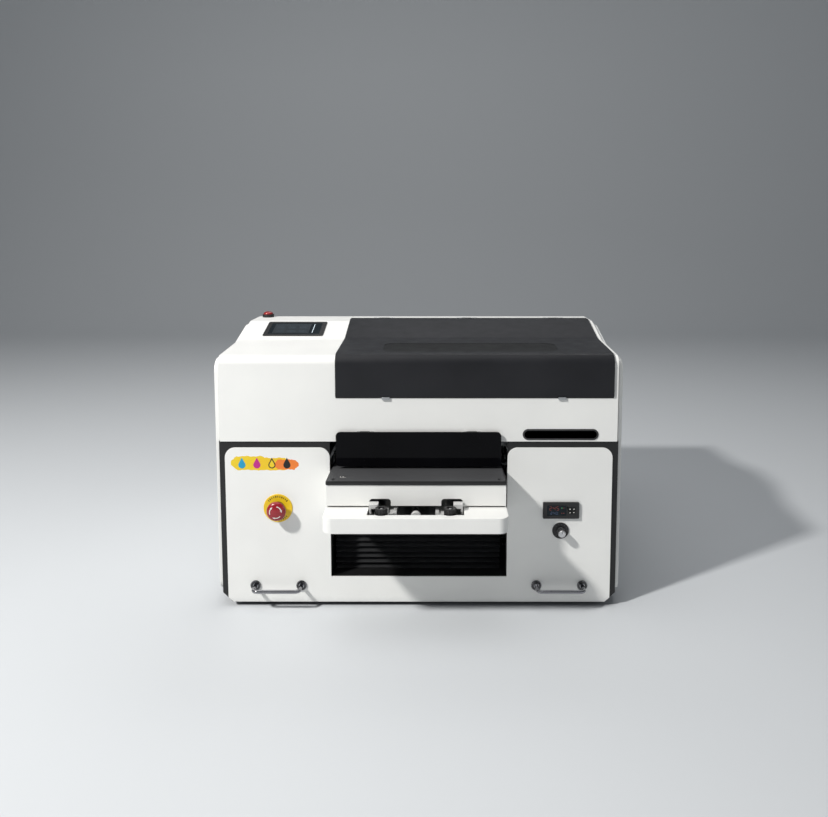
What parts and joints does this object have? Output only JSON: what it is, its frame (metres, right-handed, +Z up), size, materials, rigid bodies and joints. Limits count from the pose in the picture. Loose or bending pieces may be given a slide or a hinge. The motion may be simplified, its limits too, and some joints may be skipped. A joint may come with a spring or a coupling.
{
  "type": "flatbed uv printer",
  "caption": "Bench-top flatbed UV printer: white case, dark hinged top cover and visor, sliding bed on a lifting platform, print carriage, panel controls.",
  "frame": {"origin": "on the ground, under the middle of the overall box", "axes": "+Z up, +X to the right as seen from the front, +Y from the front to the back"},
  "size_m": [0.84, 0.8299, 0.5865],
  "materials": {
    "case_white": "fine-texture powder coat",
    "chassis_black": "satin black powder coat",
    "cover_black": "satin charcoal",
    "smoked_acrylic": "smoked gloss",
    "bed_grey": "grey anodised top, black edge",
    "legend_yellow": "satin",
    "signal_red": "gloss",
    "chrome": "polished",
    "black_plastic": "moulded",
    "gloss_black": "gloss",
    "screen": "dark display glass",
    "rubber": "matte",
    "aluminium": "milled",
    "steel": "ground",
    "knob_silver": "turned",
    "bellows_black": "folded coated fabric",
    "service": "mixed"
  },
  "bodies": {
    "frame": {"base_frame": "chassis_black", "front_panel": "case_white", "hood": "case_white", "left_side_cover": "case_white", "right_side_cover": "case_white", "rear_panel": "case_white", "feet": "rubber", "case_screws": "steel", "handles": "chrome", "pill_window": "gloss_black", "display_bezel": "black_plastic", "display_glass": "screen", "estop_plate": "legend_yellow", "estop_collar": "black_plastic", "top_button_base": "signal_red", "controller_case": "black_plastic", "controller_screen": "screen", "dial_plate": "black_plastic", "power_inlet": "black_plastic", "cover_hinges": "steel", "cover_tabs": "aluminium", "visor_hinges": "steel", "lift_guides": "steel", "lift_drive": "black_plastic", "bellows": "bellows_black", "gantry": "aluminium", "belt_drive": "rubber", "service_parts": "service", "fan_frames": "black_plastic"},
    "estop_plunger": {"estop_stem": "signal_red"},
    "estop_head": {"estop_button": "signal_red"},
    "top_button": {"top_button": "signal_red"},
    "key_1": {"key_1": "black_plastic"},
    "key_2": {"key_2": "black_plastic"},
    "key_3": {"key_3": "black_plastic"},
    "key_4": {"key_4": "black_plastic"},
    "dial": {"dial_knob": "knob_silver"},
    "rocker": {"power_rocker": "signal_red"},
    "cover": {"top_cover": "cover_black", "cover_strip": "gloss_black"},
    "visor": {"visor": "smoked_acrylic"},
    "lift": {"tray": "case_white", "lift_plate": "aluminium", "bed_rails": "aluminium", "bed_motor": "black_plastic"},
    "bed": {"bed_plate": "bed_grey", "bed_skirt": "case_white", "bed_blocks": "aluminium"},
    "bed_screw": {"bed_screw": "steel"},
    "knob_left": {"level_knob_left": "black_plastic"},
    "knob_right": {"level_knob_right": "black_plastic"},
    "screw_left": {"lift_screw_left": "steel"},
    "screw_right": {"lift_screw_right": "steel"},
    "carriage": {"carriage": "black_plastic", "print_heads": "service", "uv_lamp": "aluminium"},
    "motor_pulley": {"motor_pulley": "aluminium"},
    "idler_pulley": {"idler_pulley": "aluminium"},
    "fan_left": {"fan_left": "black_plastic"},
    "fan_right": {"fan_right": "black_plastic"}
  },
  "joints": [
    {"name": "cover_hinge", "type": "hinge", "parent": "frame", "child": "cover", "pos_m": [0.115, 0.056, 0.5744], "axis": [-1, 0, 0], "range_deg": [0, 75]},
    {"name": "visor_hinge", "type": "hinge", "parent": "frame", "child": "visor", "pos_m": [0, -0.2672, 0.375], "axis": [-1, 0, 0], "range_deg": [0, 85]},
    {"name": "lift_slide", "type": "slide", "parent": "frame", "child": "lift", "axis": [0, 0, 1], "range_m": [-0.1, 0], "deforming": ["bellows"]},
    {"name": "lift_screw_left_turn", "type": "hinge", "parent": "frame", "child": "screw_left", "pos_m": [-0.215, 0.036, 0.03], "axis": [0, 0, 1], "range_deg": [-7201, 0]},
    {"name": "lift_screw_right_turn", "type": "hinge", "parent": "frame", "child": "screw_right", "pos_m": [0.215, 0.036, 0.03], "axis": [0, 0, 1], "range_deg": [-7201, 0]},
    {"name": "bed_slide", "type": "slide", "parent": "lift", "child": "bed", "axis": [0, 1, 0], "range_m": [-0.11, 0.29]},
    {"name": "bed_screw_turn", "type": "hinge", "parent": "lift", "child": "bed_screw", "pos_m": [-0.003, -0.064, 0.233], "axis": [0, 1, 0], "range_deg": [-3961, 10441]},
    {"name": "level_knob_left_turn", "type": "hinge", "parent": "lift", "child": "knob_left", "pos_m": [-0.069, -0.382, 0.234], "axis": [0, 0, 1], "continuous": true},
    {"name": "level_knob_right_turn", "type": "hinge", "parent": "lift", "child": "knob_right", "pos_m": [0.063, -0.382, 0.234], "axis": [0, 0, 1], "continuous": true},
    {"name": "carriage_slide", "type": "slide", "parent": "frame", "child": "carriage", "axis": [1, 0, 0], "range_m": [-0.52, 0]},
    {"name": "motor_pulley_turn", "type": "hinge", "parent": "frame", "child": "motor_pulley", "pos_m": [0.365, -0.008, 0.43], "axis": [0, 1, 0], "range_deg": [0, 2484]},
    {"name": "idler_pulley_turn", "type": "hinge", "parent": "frame", "child": "idler_pulley", "pos_m": [-0.365, -0.008, 0.43], "axis": [0, 1, 0], "range_deg": [0, 2484]},
    {"name": "estop_press", "type": "slide", "parent": "frame", "child": "estop_plunger", "axis": [0, 1, 0], "range_m": [0, 0.005], "stiffness_N_per_m": 1500, "springref_m": -0.002},
    {"name": "estop_twist", "type": "hinge", "parent": "estop_plunger", "child": "estop_head", "pos_m": [-0.292, -0.284, 0.214], "axis": [0, 1, 0], "range_deg": [0, 45], "stiffness_Nm_per_rad": 0.05},
    {"name": "top_button_press", "type": "slide", "parent": "frame", "child": "top_button", "axis": [0, 0, -1], "range_m": [0, 0.003], "stiffness_N_per_m": 600, "springref_m": -0.002},
    {"name": "key_1_press", "type": "slide", "parent": "frame", "child": "key_1", "axis": [0, 1, 0], "range_m": [0, 0.0008], "stiffness_N_per_m": 400, "springref_m": -0.001},
    {"name": "key_2_press", "type": "slide", "parent": "frame", "child": "key_2", "axis": [0, 1, 0], "range_m": [0, 0.0008], "stiffness_N_per_m": 400, "springref_m": -0.001},
    {"name": "key_3_press", "type": "slide", "parent": "frame", "child": "key_3", "axis": [0, 1, 0], "range_m": [0, 0.0008], "stiffness_N_per_m": 400, "springref_m": -0.001},
    {"name": "key_4_press", "type": "slide", "parent": "frame", "child": "key_4", "axis": [0, 1, 0], "range_m": [0, 0.0008], "stiffness_N_per_m": 400, "springref_m": -0.001},
    {"name": "dial_turn", "type": "hinge", "parent": "frame", "child": "dial", "pos_m": [0.295, -0.274, 0.166], "axis": [0, -1, 0], "range_deg": [-135, 135]},
    {"name": "rocker_tilt", "type": "hinge", "parent": "frame", "child": "rocker", "pos_m": [0.29, 0.411, 0.07], "axis": [1, 0, 0], "range_deg": [-20, 0]},
    {"name": "fan_left_spin", "type": "hinge", "parent": "frame", "child": "fan_left", "pos_m": [-0.23, 0.396, 0.16], "axis": [0, 1, 0], "continuous": true},
    {"name": "fan_right_spin", "type": "hinge", "parent": "frame", "child": "fan_right", "pos_m": [0.23, 0.396, 0.16], "axis": [0, 1, 0], "continuous": true}
  ],
  "couplings": [
    {"joint": "lift_screw_left_turn", "follows": "lift_slide", "rad_per_m": 1256.6},
    {"joint": "lift_screw_right_turn", "follows": "lift_slide", "rad_per_m": 1256.6},
    {"joint": "bed_screw_turn", "follows": "bed_slide", "rad_per_m": 628.32},
    {"joint": "motor_pulley_turn", "follows": "carriage_slide", "rad_per_m": -83.333},
    {"joint": "idler_pulley_turn", "follows": "carriage_slide", "rad_per_m": -83.333}
  ]
}
